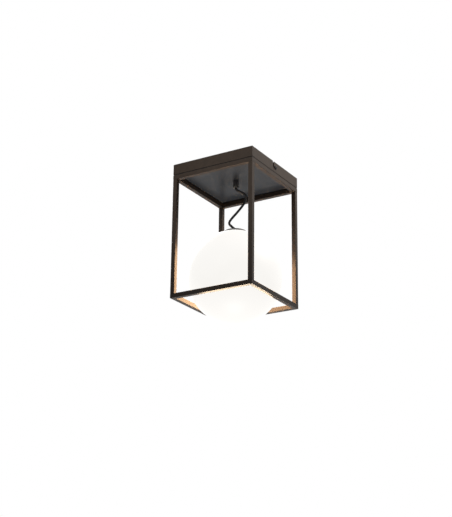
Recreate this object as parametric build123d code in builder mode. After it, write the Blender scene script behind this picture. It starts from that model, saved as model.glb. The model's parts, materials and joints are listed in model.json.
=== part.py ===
"""Porch ceiling light: a square canopy, an open frame of square tube and an opal globe that rests in it.

Millimetres, +Z up. The origin is the middle of the ceiling face, and the light hangs down from it.
Front is -Y and right is +X.
"""

import os
from math import cos, radians, sin, sqrt

from build123d import *

os.makedirs("parts", exist_ok=True)

# Overall sizes
frame_width = 242.0
frame_height = 342.0
canopy_height = 29.0
globe_diameter = 249.0

# Square tube of the frame
tube_side = 12.0
tube_wall = 1.5
tube_edge = 0.8

# Canopy sheet, its in-turned lip and the plate inside it
sheet = 1.5
fold_edge = 0.6
lip_setback = 1.0
plate_thickness = 1.5
plate_gap = 0.25

# Seal in the shadow gap between canopy and frame
gasket_thickness = 1.5
gasket_inset = 1.0

# Ceiling bracket and the screws that the canopy hooks on
bracket_width = 32.0
bracket_thickness = 2.0
bracket_gap = 0.3
bracket_bend = 2.0
ear_below_screw = 4.6
fixing_spacing = 120.0
fixing_slot_length = 22.0
fixing_slot_width = 5.5
cable_hole_diameter = 20.0
hook_depth = 15.5
hook_shift = 10.0
hook_screw_diameter = 5.0
hook_screw_head = 9.4
hook_screw_head_height = 3.4
hook_screw_tail = 4.0
earth_screw_diameter = 4.0
earth_screw_head = 7.0
earth_screw_head_height = 2.6
earth_screw_offset = 32.0

# Long screws that clamp canopy and top ring to the posts
frame_screw_diameter = 4.0
frame_screw_head = 7.0
frame_screw_head_height = 2.8
frame_screw_grip = 14.0
plug_length = 20.0

# Round flex and the grip it leaves the canopy through
flex_diameter = 6.5
grip_diameter = 15.0
grip_length = 20.5
grip_edge = 0.6
grip_stem_diameter = 10.0
grip_nut_width = 14.0
grip_nut_height = 3.0
grip_stem_proud = 0.5
grip_screw_diameter = 4.0
grip_screw_head = 6.0
grip_screw_head_height = 2.0
tail_bend = 6.8
tail_run = 20.2

# Terminal block on the plate
block_length = 33.0
block_width = 17.0
block_height = 13.0
block_poles = 3
block_rib = 3.0
block_well_diameter = 4.4
block_well_depth = 6.0
block_wire_diameter = 3.4
terminal_screw_height = 2.4

# Globe, its neck and the lid that turns into it
globe_wall = 3.0
seat_gap = 0.25
neck_diameter = 52.0
neck_wall = 5.0
neck_height = 6.0
neck_bond = 0.05
rim_width = 7.2
lid_diameter = 60.0
lid_thickness = 5.5
lid_edge = 0.8
seal_thickness = 1.2
seal_margin = 0.5
spigot_gap = 0.5
spigot_wall = 2.0
lug_count = 3
lug_angle = 18.0
lug_height = 3.2
lug_reach = 2.6
lug_gap = 0.3
lug_slot_margin = 3.0
lid_turn = 40.0

# Grommet where the flex enters the lid
grommet_diameter = 13.0
grommet_height = 2.0
grommet_neck_diameter = 9.0
grommet_lower_diameter = 12.0
grommet_lower_height = 1.5

# Lampholder and lamp hanging under the lid
holder_diameter = 39.0
holder_height = 50.0
holder_flange_gap = 0.5
holder_flange_height = 3.0
holder_cavity_diameter = 24.0
holder_cavity_depth = 14.0
holder_web = 4.0
holder_screw_diameter = 2.0
holder_screw_head = 3.2
holder_screw_head_height = 1.4
holder_screw_bite = 2.5
contact_diameter = 8.0
contact_height = 2.0
cap_diameter = 26.2
cap_length = 23.0
cap_tip_diameter = 9.0
cap_tip_height = 4.0
cap_wall = 0.8
lamp_diameter = 45.0
lamp_housing_length = 27.0
lamp_wall = 1.2

# Clearances shared by the fits
screw_clearance = 0.25
thread_clearance = 0.05
flex_clearance = 0.1
stem_clearance = 0.15

# Route of the free flex: across, away from the viewer, and height below the ceiling
flex_heading = 31.7
flex_route = [
    (0.0, 0.0, -50.8),
    (2.6, 0.2, -54.0),
    (21.5, 2.2, -62.0),
    (26.4, 3.4, -68.2),
    (26.4, 5.0, -83.5),
    (16.5, 5.0, -99.4),
    (1.5, 2.2, -120.4),
    (-11.5, -1.6, -137.4),
    (-19.2, -4.0, -151.2),
    (-8.6, -1.8, -160.6),
    (0.0, 0.0, -167.4),
]

# Heights that follow from the sizes
half = frame_width / 2
inner_wall = half - sheet
tube_axis = half - tube_side / 2
tube_inner = tube_side - 2 * tube_wall
opening_half = half - tube_side
lip_half = opening_half + lip_setback
lip_top = -canopy_height + sheet
plate_bottom = lip_top
plate_top = plate_bottom + plate_thickness
frame_top = -canopy_height - gasket_thickness
frame_bottom = frame_top - frame_height
post_top = frame_top - tube_side
post_length = frame_height - 2 * tube_side
seat_top = frame_bottom + tube_side
grip_end = plate_bottom - grip_length
stem_end = plate_top + grip_nut_height + grip_stem_proud
tail_height = stem_end + tail_bend
block_front = tail_bend + tail_run

# The globe touches the rounded inner edges of the bottom rails
globe_radius = globe_diameter / 2
globe_inner = globe_radius - globe_wall
seat_reach = globe_radius + tube_edge + seat_gap
globe_height = seat_top - tube_edge + sqrt(seat_reach**2 - (opening_half + tube_edge) ** 2)

# Levels of the neck and lid, counted from the globe's centre
neck_radius = neck_diameter / 2
rim_radius = neck_radius + rim_width
rim_level = sqrt(globe_radius**2 - rim_radius**2)
neck_level = rim_level - neck_height
lid_level = rim_level + seal_thickness
lid_top_level = lid_level + lid_thickness
grommet_level = lid_top_level + grommet_height
spigot_radius = neck_radius - spigot_gap
spigot_inner = spigot_radius - spigot_wall
lug_level = neck_level - lug_gap
spigot_level = lug_level - lug_height
flex_end = globe_height + grommet_level

# Levels of the lampholder and lamp
flange_radius = spigot_inner - holder_flange_gap
holder_radius = holder_diameter / 2
holder_screw_circle = (holder_radius + flange_radius) / 2
cavity_level = lid_level - holder_cavity_depth
socket_level = cavity_level - holder_web
contact_level = socket_level - contact_height
cap_level = contact_level - cap_tip_height
cap_end_level = cap_level - cap_length
holder_end_level = lid_level - holder_height
housing_end_level = cap_end_level - lamp_housing_length
lamp_radius = lamp_diameter / 2

# Four sides and four corners, each with its turn about the light's axis
sides = {"front": 0, "right": 90, "back": 180, "left": 270}
corners = {"front_right": 0, "back_right": 90, "back_left": 180, "front_left": 270}


def radial_plane(turn=0.0, height=0.0):
    """An upright plane through the axis: local x runs outwards and local y runs up."""
    angle = radians(turn)
    return Plane((0, 0, height), x_dir=(cos(angle), sin(angle), 0), z_dir=(sin(angle), -cos(angle), 0))


def save(solid, name):
    """Label a finished piece and write it under its own name."""
    solid.label = name
    export_step(solid, f"parts/{name}.step")


def mitred_rail(top, drilled):
    """One side of a square ring: a tube with mitred ends, drilled for the corner screws or plain."""
    with BuildPart() as rail:
        with BuildSketch(Plane.YZ.offset(-half)):
            with Locations((-tube_axis, top - tube_side / 2)):
                RectangleRounded(tube_side, tube_side, tube_edge)
                Rectangle(tube_inner, tube_inner, mode=Mode.SUBTRACT)
        extrude(amount=frame_width)
        for side in (1, -1):
            split(bisect_by=Plane((0, 0, 0), z_dir=(side, 1, 0)), keep=Keep.BOTTOM)
        if drilled:
            with BuildSketch(Plane.XY.offset(top)):
                with GridLocations(2 * tube_axis, 2 * tube_axis, 2, 2):
                    Circle(frame_screw_diameter / 2 + screw_clearance)
            extrude(amount=-tube_side, mode=Mode.SUBTRACT)
    return rail.part


def ring_of_revolution(height, levels):
    """A turned piece: its half section is a closed outline of (radius, level) points."""
    with BuildPart() as turned:
        with BuildSketch(radial_plane(height=height)):
            with BuildLine():
                Polyline(*levels, close=True)
            make_face()
        revolve(axis=Axis.Z)
    return turned.part


# Ceiling bracket: a strap with an ear bent down at each end
with BuildPart() as ceiling_bracket:
    ear_face = inner_wall - bracket_gap
    ear_length = hook_depth + ear_below_screw
    with BuildSketch(Plane.XZ) as strap:
        with Locations((0, -ear_length / 2)):
            Rectangle(2 * ear_face, ear_length)
        with Locations((0, -(ear_length + bracket_thickness) / 2)):
            Rectangle(2 * (ear_face - bracket_thickness), ear_length - bracket_thickness, mode=Mode.SUBTRACT)
        fillet(strap.vertices().group_by(Axis.Y)[1], bracket_bend)
        fillet(strap.vertices().group_by(Axis.Y)[-1], bracket_bend + bracket_thickness)
    extrude(amount=bracket_width / 2, both=True)
    with BuildSketch(Plane.XY):
        with GridLocations(fixing_spacing, 0, 2, 1):
            SlotOverall(fixing_slot_length, fixing_slot_width)
        Circle(cable_hole_diameter / 2)
        with Locations((-earth_screw_offset, 0)):
            Circle(earth_screw_diameter / 2 + thread_clearance)
    extrude(amount=-bracket_thickness, mode=Mode.SUBTRACT)
    with BuildSketch(Plane.YZ.offset(-half)):
        with Locations((0, -hook_depth)):
            Circle(hook_screw_diameter / 2 + thread_clearance)
    extrude(amount=frame_width, mode=Mode.SUBTRACT)
save(ceiling_bracket.part, "ceiling_bracket")

# Earth screw, driven up into the strap
with BuildPart() as earth_screw:
    with BuildSketch(Plane.XY.offset(-bracket_thickness)):
        with Locations((-earth_screw_offset, 0)):
            Circle(earth_screw_head / 2)
    extrude(amount=-earth_screw_head_height)
    fillet(earth_screw.edges().sort_by(Axis.Z)[0], earth_screw_head_height / 3)
    with BuildSketch(Plane.XY.offset(-bracket_thickness)):
        with Locations((-earth_screw_offset, 0)):
            Circle(earth_screw_diameter / 2)
    extrude(amount=bracket_thickness)
save(earth_screw.part, "earth_screw")

# Canopy: a folded box, open to the ceiling, with a lip below and an L-shaped hook slot in two walls
with BuildPart() as canopy:
    with BuildSketch(Plane.XY):
        RectangleRounded(frame_width, frame_width, tube_edge)
    extrude(amount=-canopy_height)
    fillet(canopy.faces().sort_by(Axis.Z)[0].edges(), fold_edge)
    with BuildSketch(Plane.XY):
        Rectangle(2 * inner_wall, 2 * inner_wall)
    extrude(amount=lip_top, mode=Mode.SUBTRACT)
    with BuildSketch(Plane.XY.offset(lip_top)):
        Rectangle(2 * lip_half, 2 * lip_half)
        with GridLocations(2 * tube_axis, 2 * tube_axis, 2, 2):
            Circle(frame_screw_diameter / 2 + screw_clearance)
    extrude(amount=-sheet, mode=Mode.SUBTRACT)
    hook_slot = hook_screw_diameter + 2 * screw_clearance
    with BuildSketch(Plane.YZ.offset(-half)):
        with Locations((-hook_shift / 2, -hook_depth)):
            SlotCenterToCenter(hook_shift, hook_slot)
        with Locations((-hook_shift, -hook_depth / 2)):
            Rectangle(hook_slot, hook_depth)
    extrude(amount=frame_width, mode=Mode.SUBTRACT)
save(canopy.part, "canopy")

# Two screws in the ears, at the closed ends of the hook slots
hook_screw_reach = sheet + bracket_gap + bracket_thickness + hook_screw_tail
with BuildPart() as canopy_screws:
    for side in (1, -1):
        wall_plane = Plane((side * half, 0, -hook_depth), x_dir=(0, 1, 0), z_dir=(side, 0, 0))
        with BuildSketch(wall_plane):
            Circle(hook_screw_head / 2)
        extrude(amount=hook_screw_head_height)
        rim = canopy_screws.edges().sort_by(Axis.X)[-1 if side > 0 else 0]
        fillet(rim, hook_screw_head_height / 2)
        with BuildSketch(wall_plane):
            Circle(hook_screw_diameter / 2)
        extrude(amount=-hook_screw_reach)
save(canopy_screws.part, "canopy_screws")

# Plate that lies on the canopy's lip and closes the canopy from below
plate_side = 2 * (inner_wall - plate_gap)
with BuildPart() as base_plate:
    with BuildSketch(Plane.XY.offset(plate_bottom)):
        Rectangle(plate_side, plate_side)
        Circle(grip_stem_diameter / 2 + stem_clearance, mode=Mode.SUBTRACT)
        with GridLocations(2 * tube_axis, 2 * tube_axis, 2, 2):
            Circle(frame_screw_diameter / 2 + screw_clearance, mode=Mode.SUBTRACT)
    extrude(amount=plate_thickness)
save(base_plate.part, "base_plate")

# Flat seal that makes the shadow gap
with BuildPart() as frame_gasket:
    with BuildSketch(Plane.XY.offset(-canopy_height)):
        Rectangle(frame_width - 2 * gasket_inset, frame_width - 2 * gasket_inset)
        Rectangle(2 * lip_half, 2 * lip_half, mode=Mode.SUBTRACT)
        with GridLocations(2 * tube_axis, 2 * tube_axis, 2, 2):
            Circle(frame_screw_diameter / 2 + screw_clearance, mode=Mode.SUBTRACT)
    extrude(amount=-gasket_thickness)
save(frame_gasket.part, "frame_gasket")

# Rings of the frame
top_rail = mitred_rail(frame_top, drilled=True)
bottom_rail = mitred_rail(seat_top, drilled=False)
for side, turn in sides.items():
    save(top_rail.rotate(Axis.Z, turn), f"top_rail_{side}")
    save(bottom_rail.rotate(Axis.Z, turn), f"bottom_rail_{side}")

# Corner posts between the rings
with BuildPart() as post:
    with BuildSketch(Plane.XY.offset(post_top)):
        with Locations((tube_axis, -tube_axis)):
            RectangleRounded(tube_side, tube_side, tube_edge)
            Rectangle(tube_inner, tube_inner, mode=Mode.SUBTRACT)
    extrude(amount=-post_length)
for corner, turn in corners.items():
    save(post.part.rotate(Axis.Z, turn), f"post_{corner}")

# Tapped plugs in the upper ends of the posts
with BuildPart() as post_plugs:
    with BuildSketch(Plane.XY.offset(post_top)):
        with GridLocations(2 * tube_axis, 2 * tube_axis, 2, 2):
            Rectangle(tube_inner, tube_inner)
            Circle(frame_screw_diameter / 2 + thread_clearance, mode=Mode.SUBTRACT)
    extrude(amount=-plug_length)
save(post_plugs.part, "post_plugs")

# Screws from the plate down into the plugs
with BuildPart() as frame_screws:
    with BuildSketch(Plane.XY.offset(plate_top)):
        with GridLocations(2 * tube_axis, 2 * tube_axis, 2, 2):
            Circle(frame_screw_head / 2)
    extrude(amount=frame_screw_head_height)
    fillet(frame_screws.edges().group_by(Axis.Z)[-1], frame_screw_head_height / 2)
    with BuildSketch(Plane.XY.offset(plate_top)):
        with GridLocations(2 * tube_axis, 2 * tube_axis, 2, 2):
            Circle(frame_screw_diameter / 2)
    extrude(amount=post_top - frame_screw_grip - plate_top)
save(frame_screws.part, "frame_screws")

# Cord grip under the plate, with a stem through it
flex_radius = flex_diameter / 2
grip_bore = flex_radius + flex_clearance
grip_screw_height = plate_bottom - grip_length / 2
with BuildPart() as cord_grip:
    with BuildSketch(Plane.XY.offset(grip_end)):
        Circle(grip_diameter / 2)
    extrude(amount=grip_length)
    chamfer(cord_grip.edges().group_by(Axis.Z)[0], grip_edge)
    with BuildSketch(Plane.XY.offset(plate_bottom)):
        Circle(grip_stem_diameter / 2)
    extrude(amount=stem_end - plate_bottom)
    with BuildSketch(Plane.XY.offset(grip_end)):
        Circle(grip_bore)
    extrude(amount=stem_end - grip_end, mode=Mode.SUBTRACT)
    with BuildSketch(Plane((0, 0, grip_screw_height), x_dir=(1, 0, 0), z_dir=(0, 1, 0))):
        Circle(grip_screw_diameter / 2 + thread_clearance)
    extrude(amount=grip_diameter, mode=Mode.SUBTRACT)
save(cord_grip.part, "cord_grip")

# Nut that holds the grip on the plate
with BuildPart() as grip_nut:
    with BuildSketch(Plane.XY.offset(plate_top)):
        RegularPolygon(grip_nut_width / 2, 6, major_radius=False)
        Circle(grip_stem_diameter / 2 + thread_clearance, mode=Mode.SUBTRACT)
    extrude(amount=grip_nut_height)
save(grip_nut.part, "grip_nut")

# Side screw that pinches the flex in the grip
with BuildPart() as grip_screw:
    with BuildSketch(Plane((0, grip_bore, grip_screw_height), x_dir=(1, 0, 0), z_dir=(0, 1, 0))):
        Circle(grip_screw_diameter / 2)
    extrude(amount=grip_diameter / 2 - grip_bore)
    with BuildSketch(Plane((0, grip_diameter / 2, grip_screw_height), x_dir=(1, 0, 0), z_dir=(0, 1, 0))):
        Circle(grip_screw_head / 2)
    extrude(amount=grip_screw_head_height)
save(grip_screw.part, "grip_screw")

# Flex inside the grip and the canopy, up and over to the terminal block
with BuildPart() as flex_tail:
    with BuildLine():
        tail_points = [(0, 0, grip_end), (0, 0, tail_height), (0, block_front, tail_height)]
        tail_path = FilletPolyline(*tail_points, radius=tail_bend)
    with BuildSketch(Plane.XY.offset(grip_end)):
        Circle(flex_radius)
    sweep(path=tail_path)
save(flex_tail.part, "flex_tail")

# Terminal block: poles side by side, each with two screw wells and a wire way
pole_pitch = block_length / block_poles
block_middle = block_front + block_width / 2
with BuildPart() as terminal_block:
    with BuildSketch(Plane.XY.offset(plate_top)):
        with Locations((0, block_middle)):
            Rectangle(block_length, block_width)
            with GridLocations(pole_pitch, block_width, block_poles - 1, 2):
                Rectangle(block_rib, block_rib, mode=Mode.SUBTRACT)
    extrude(amount=block_height)
    with BuildSketch(Plane.XY.offset(plate_top + block_height)):
        with Locations((0, block_middle)):
            with GridLocations(pole_pitch, block_width / 2, block_poles, 2):
                Circle(block_well_diameter / 2)
    extrude(amount=-block_well_depth, mode=Mode.SUBTRACT)
    with BuildSketch(Plane((0, block_front, plate_top), x_dir=(1, 0, 0), z_dir=(0, 1, 0))):
        with Locations((0, -block_height / 3)):
            with GridLocations(pole_pitch, 0, block_poles, 1):
                Circle(block_wire_diameter / 2)
    extrude(amount=block_width, mode=Mode.SUBTRACT)
save(terminal_block.part, "terminal_block")

# Screws at the bottoms of the wells
with BuildPart() as terminal_screws:
    with BuildSketch(Plane.XY.offset(plate_top + block_height - block_well_depth)):
        with Locations((0, block_middle)):
            with GridLocations(pole_pitch, block_width / 2, block_poles, 2):
                Circle(block_well_diameter / 2 - thread_clearance)
    extrude(amount=terminal_screw_height)
save(terminal_screws.part, "terminal_screws")

# Free flex between grip and lid: straight runs joined by arcs as large as the runs allow
heading = radians(flex_heading)
flex_points = [Vector(0, 0, grip_end)]
for across, away, height in flex_route:
    along_x = across * cos(heading) - away * sin(heading)
    along_y = across * sin(heading) + away * cos(heading)
    flex_points.append(Vector(along_x, along_y, height))
flex_points.append(Vector(0, 0, flex_end))
flex_radii = []
for before, corner, after in zip(flex_points, flex_points[1:], flex_points[2:]):
    run_in = corner - before
    run_out = after - corner
    half_turn = radians(run_in.get_angle(run_out)) / 2
    flex_radii.append(0.45 * min(run_in.length, run_out.length) * cos(half_turn) / sin(half_turn))
print("flex radii", [round(radius, 1) for radius in flex_radii])
with BuildPart() as flex:
    with BuildLine():
        flex_path = FilletPolyline(*flex_points, radius=flex_radii)
    with BuildSketch(Plane.XY.offset(grip_end)):
        Circle(flex_radius)
    sweep(path=flex_path)
flex_length = flex_path.length
print("flex length", round(flex_length, 1))
print("flex volume", round(flex.part.volume), "of", round(flex_length * flex_radius**2 * 3.14159))
save(flex.part, "flex")

# Globe: an opal shell cut flat at the top, with a round hole for the neck ring
hole_radius = neck_radius + neck_wall + neck_bond
with BuildPart() as globe:
    hole_level = sqrt(globe_inner**2 - hole_radius**2)
    with BuildSketch(radial_plane(height=globe_height)):
        with BuildLine():
            ThreePointArc((0, -globe_radius), (globe_radius, 0), (rim_radius, rim_level))
            Polyline((rim_radius, rim_level), (hole_radius, rim_level), (hole_radius, hole_level))
            ThreePointArc((hole_radius, hole_level), (globe_inner, 0), (0, -globe_inner))
            Line((0, -globe_inner), (0, -globe_radius))
        make_face()
    revolve(axis=Axis.Z)
save(globe.part, "globe")

# Neck ring bonded into the hole, slotted for the lid's lugs
with BuildPart() as neck_ring:
    with BuildSketch(Plane.XY.offset(globe_height + neck_level)):
        Circle(neck_radius + neck_wall)
        Circle(neck_radius, mode=Mode.SUBTRACT)
    extrude(amount=neck_height)
    slot_reach = spigot_radius + lug_reach + lug_gap
    slot_angle = lug_angle + 2 * lug_slot_margin
    for number in range(lug_count):
        slot_start = number * 360 / lug_count + lid_turn - lug_slot_margin
        with BuildSketch(radial_plane(slot_start, globe_height)):
            with Locations(((spigot_inner + slot_reach) / 2, rim_level - neck_height / 2)):
                Rectangle(slot_reach - spigot_inner, neck_height)
        revolve(axis=Axis.Z, revolution_arc=slot_angle, mode=Mode.SUBTRACT)
save(neck_ring.part, "neck_ring")

# Seal on the rim
seal_inner = neck_radius + seal_margin
seal_outer = lid_diameter / 2 - seal_margin
lid_seal = ring_of_revolution(
    globe_height,
    [(seal_inner, rim_level), (seal_outer, rim_level), (seal_outer, lid_level), (seal_inner, lid_level)],
)
save(lid_seal, "lid_seal")

# Lid: a flat disc with a spigot and lugs that lock under the neck
with BuildPart() as lid:
    with BuildSketch(Plane.XY.offset(globe_height + lid_level)):
        Circle(lid_diameter / 2)
    extrude(amount=lid_thickness)
    fillet(lid.edges().group_by(Axis.Z)[-1], lid_edge)
    with BuildSketch(Plane.XY.offset(globe_height + lid_level)):
        Circle(spigot_radius)
        Circle(spigot_inner, mode=Mode.SUBTRACT)
    extrude(amount=spigot_level - lid_level)
    for number in range(lug_count):
        with BuildSketch(radial_plane(number * 360 / lug_count, globe_height)):
            with Locations(((spigot_inner + spigot_radius + lug_reach) / 2, lug_level - lug_height / 2)):
                Rectangle(spigot_radius + lug_reach - spigot_inner, lug_height)
        revolve(axis=Axis.Z, revolution_arc=lug_angle)
    with BuildSketch(Plane.XY.offset(globe_height + lid_level)):
        Circle(grommet_neck_diameter / 2)
    extrude(amount=lid_thickness, mode=Mode.SUBTRACT)
    with BuildSketch(Plane.XY.offset(globe_height + lid_level)):
        with PolarLocations(holder_screw_circle, 2):
            Circle(holder_screw_diameter / 2 + thread_clearance)
    extrude(amount=holder_screw_bite, mode=Mode.SUBTRACT)
save(lid.part, "lid")

# Grommet in the middle of the lid
lid_grommet = ring_of_revolution(
    globe_height,
    [
        (grip_bore, grommet_level),
        (grommet_diameter / 2, grommet_level),
        (grommet_diameter / 2, lid_top_level),
        (grommet_neck_diameter / 2, lid_top_level),
        (grommet_neck_diameter / 2, lid_level),
        (grommet_lower_diameter / 2, lid_level),
        (grommet_lower_diameter / 2, lid_level - grommet_lower_height),
        (grip_bore, lid_level - grommet_lower_height),
    ],
)
save(lid_grommet, "lid_grommet")

# Flex through the grommet, down to the web of the lampholder
with BuildPart() as flex_lower_end:
    with BuildSketch(Plane.XY.offset(flex_end)):
        Circle(flex_radius)
    extrude(amount=cavity_level - grommet_level)
save(flex_lower_end.part, "flex_lower_end")

# Lampholder: a flange under the lid, a wiring space above a web, and the socket below it
socket_radius = cap_diameter / 2 + screw_clearance
with BuildPart() as lampholder:
    with BuildSketch(Plane.XY.offset(globe_height + holder_end_level)):
        Circle(holder_radius)
    extrude(amount=holder_height)
    with BuildSketch(Plane.XY.offset(globe_height + lid_level)):
        Circle(flange_radius)
    extrude(amount=-holder_flange_height)
    with BuildSketch(Plane.XY.offset(globe_height + lid_level)):
        Circle(holder_cavity_diameter / 2)
    extrude(amount=-holder_cavity_depth, mode=Mode.SUBTRACT)
    with BuildSketch(Plane.XY.offset(globe_height + holder_end_level)):
        Circle(socket_radius)
    extrude(amount=socket_level - holder_end_level, mode=Mode.SUBTRACT)
    with BuildSketch(Plane.XY.offset(globe_height + lid_level)):
        with PolarLocations(holder_screw_circle, 2):
            Circle(holder_screw_diameter / 2 + thread_clearance)
    extrude(amount=-holder_flange_height, mode=Mode.SUBTRACT)
save(lampholder.part, "lampholder")

# Screws that hold the lampholder to the lid
with BuildPart() as holder_screws:
    with BuildSketch(Plane.XY.offset(globe_height + lid_level - holder_flange_height)):
        with PolarLocations(holder_screw_circle, 2):
            Circle(holder_screw_diameter / 2)
    extrude(amount=holder_flange_height + holder_screw_bite)
    with BuildSketch(Plane.XY.offset(globe_height + lid_level - holder_flange_height)):
        with PolarLocations(holder_screw_circle, 2):
            Circle(holder_screw_head / 2)
    extrude(amount=-holder_screw_head_height)
save(holder_screws.part, "holder_screws")

# Centre contact under the web
with BuildPart() as centre_contact:
    with BuildSketch(Plane.XY.offset(globe_height + socket_level)):
        Circle(contact_diameter / 2)
    extrude(amount=-contact_height)
save(centre_contact.part, "centre_contact")

# Lamp: screw cap, housing and opal dome
lamp_cap = ring_of_revolution(
    globe_height,
    [
        (0, contact_level),
        (cap_tip_diameter / 2, contact_level),
        (cap_diameter / 2, cap_level),
        (cap_diameter / 2, cap_end_level),
        (cap_diameter / 2 - cap_wall, cap_end_level),
        (cap_diameter / 2 - cap_wall, cap_level),
        (cap_tip_diameter / 2 - cap_wall, contact_level - cap_wall),
        (0, contact_level - cap_wall),
    ],
)
save(lamp_cap, "lamp_cap")

housing_end_radius = lamp_radius - lamp_wall
lamp_housing = ring_of_revolution(
    globe_height,
    [
        (0, cap_end_level),
        (cap_diameter / 2, cap_end_level),
        (cap_diameter / 2, holder_end_level - lug_gap),
        (housing_end_radius, housing_end_level),
        (0, housing_end_level),
    ],
)
save(lamp_housing, "lamp_housing")

with BuildPart() as lamp_dome:
    dome_drop = sqrt(lamp_radius**2 - housing_end_radius**2)
    dome_level = housing_end_level - dome_drop
    dome_inner = lamp_radius - lamp_wall
    with BuildSketch(radial_plane(height=globe_height + dome_level)):
        with BuildLine():
            ThreePointArc((housing_end_radius, dome_drop), (lamp_radius, 0), (0, -lamp_radius))
            Line((0, -lamp_radius), (0, -dome_inner))
            ThreePointArc((0, -dome_inner), (dome_inner * cos(radians(45)), -dome_inner * sin(radians(45))), (dome_inner, 0))
            Polyline((dome_inner, 0), (housing_end_radius - lamp_wall, dome_drop), (housing_end_radius, dome_drop))
        make_face()
    revolve(axis=Axis.Z)
save(lamp_dome.part, "lamp_dome")
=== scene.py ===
"""Porch ceiling light as a small Blender add-on: one operator for each group of pieces.

Metres, +Z up. The origin is the middle of the ceiling face, front is -Y and right is +X.
"""

import json
from math import cos, pi, radians, sin, sqrt

import bmesh
import bpy
from bpy.props import FloatProperty, FloatVectorProperty, PointerProperty
from bpy.types import Operator, Panel, PropertyGroup
from mathutils import Matrix, Vector


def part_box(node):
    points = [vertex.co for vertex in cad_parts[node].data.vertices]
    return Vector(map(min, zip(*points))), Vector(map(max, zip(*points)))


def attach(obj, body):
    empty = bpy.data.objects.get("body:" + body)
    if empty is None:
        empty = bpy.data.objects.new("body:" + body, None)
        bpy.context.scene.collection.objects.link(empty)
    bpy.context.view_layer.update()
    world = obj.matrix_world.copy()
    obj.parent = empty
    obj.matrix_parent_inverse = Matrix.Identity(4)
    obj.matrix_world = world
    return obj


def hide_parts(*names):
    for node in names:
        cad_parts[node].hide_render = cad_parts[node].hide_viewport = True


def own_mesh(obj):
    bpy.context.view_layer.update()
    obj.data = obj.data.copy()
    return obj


bl_info = {
    "name": "Porch ceiling light",
    "version": (1, 0, 0),
    "blender": (4, 5, 0),
    "location": "3D View > Sidebar > Porch Light",
    "description": "Dresses the CAD model of a porch ceiling light with an open frame and an opal globe",
    "category": "Add Mesh",
}

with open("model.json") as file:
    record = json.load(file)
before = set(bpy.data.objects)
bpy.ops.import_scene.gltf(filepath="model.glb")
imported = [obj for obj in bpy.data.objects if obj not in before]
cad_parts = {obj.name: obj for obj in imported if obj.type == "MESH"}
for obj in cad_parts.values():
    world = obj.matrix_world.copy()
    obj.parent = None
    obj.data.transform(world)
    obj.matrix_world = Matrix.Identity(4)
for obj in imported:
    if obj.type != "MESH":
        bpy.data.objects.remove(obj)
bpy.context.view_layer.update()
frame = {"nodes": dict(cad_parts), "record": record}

# Places that the CAD model gives
canopy_low, canopy_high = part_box("canopy")
post_low, post_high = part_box("post_front_right")
top_rail_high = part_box("top_rail_front")[1]
seat_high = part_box("bottom_rail_front")[1]
plate_low, plate_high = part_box("base_plate")
globe_low, globe_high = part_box("globe")
grip_low, grip_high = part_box("cord_grip")
grip_screw_low, grip_screw_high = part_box("grip_screw")
nut_low, nut_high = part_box("grip_nut")
grommet_low, grommet_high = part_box("lid_grommet")
hook_screw_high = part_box("canopy_screws")[1]
frame_screw_low, frame_screw_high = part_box("frame_screws")
earth_screw_low, earth_screw_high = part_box("earth_screw")
terminal_low, terminal_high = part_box("terminal_screws")
block_low, block_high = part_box("terminal_block")

# Places closer together than this are the same
touch = 1e-5


def length(title, text, default):
    """A property in metres."""
    return FloatProperty(name=title, description=text, default=default, unit="LENGTH", precision=5)


def angle(title, text, default):
    """A property in degrees, kept in radians."""
    return FloatProperty(name=title, description=text, default=radians(default), subtype="ANGLE")


def amount(title, text, default, **more):
    """A plain number."""
    return FloatProperty(name=title, description=text, default=default, **more)


def colour(title, text, default):
    """A linear colour property."""
    return FloatVectorProperty(
        name=title, description=text, default=default, size=3, subtype="COLOR", min=0.0, max=1.0
    )


class PorchLightSizes(PropertyGroup):
    """Sizes of the dressed pieces."""

    frame_width: length("Frame width", "Side of the square canopy and frame", canopy_high.x - canopy_low.x)
    canopy_height: length("Canopy height", "Height of the folded sheet box", -canopy_low.z)
    sheet: length("Sheet", "Thickness of the folded sheet", 0.0015)
    lip_half: length("Lip opening", "Half the opening inside the in-turned lip", 0.110)
    tube_side: length("Tube side", "Side of the square tube", post_high.x - post_low.x)
    tube_edge: length("Tube edge", "Radius of the tube's long edges", 0.0008)
    joint_line: length("Joint line", "Chamfer that shows where two tubes meet", 0.0002)
    hook_depth: length("Hook depth", "Depth of the hook slot's closed end below the ceiling", 0.0155)
    hook_shift: length("Hook shift", "Sideways step of the hook slot", 0.010)
    hook_slot: length("Hook slot", "Width of the hook slot", 0.0055)
    globe_diameter: length("Globe diameter", "Outside of the opal globe", globe_high.x - globe_low.x)
    globe_wall: length("Globe wall", "Thickness of the opal shell", 0.003)
    globe_hole: length("Globe hole", "Radius of the hole for the neck ring", 0.03105)
    flex_diameter: length("Flex diameter", "Diameter of the round flex", 0.0065)
    core_diameter: length("Core diameter", "Diameter of the three cores inside the flex", 0.0024)
    fold_edge: length("Fold edge", "Radius of the canopy's lower folds", 0.0006)
    grip_edge: length("Grip edge", "Chamfer of the cord grip's lower rim", 0.0006)
    grip_stem: length("Grip stem", "Diameter of the grip's stem through the plate", 0.010)
    hook_screw_head: length("Hook screw head", "Head diameter of the canopy's side screws", 0.0094)
    hook_screw_shank: length("Hook screw shank", "Shank diameter of the canopy's side screws", 0.005)
    small_screw_head: length("Screw head", "Head diameter of the frame and earth screws", 0.007)
    small_screw_shank: length("Screw shank", "Shank diameter of the frame and earth screws", 0.004)
    terminal_screw: length("Terminal screw", "Diameter of the screws in the terminal block", 0.0043)


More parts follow.
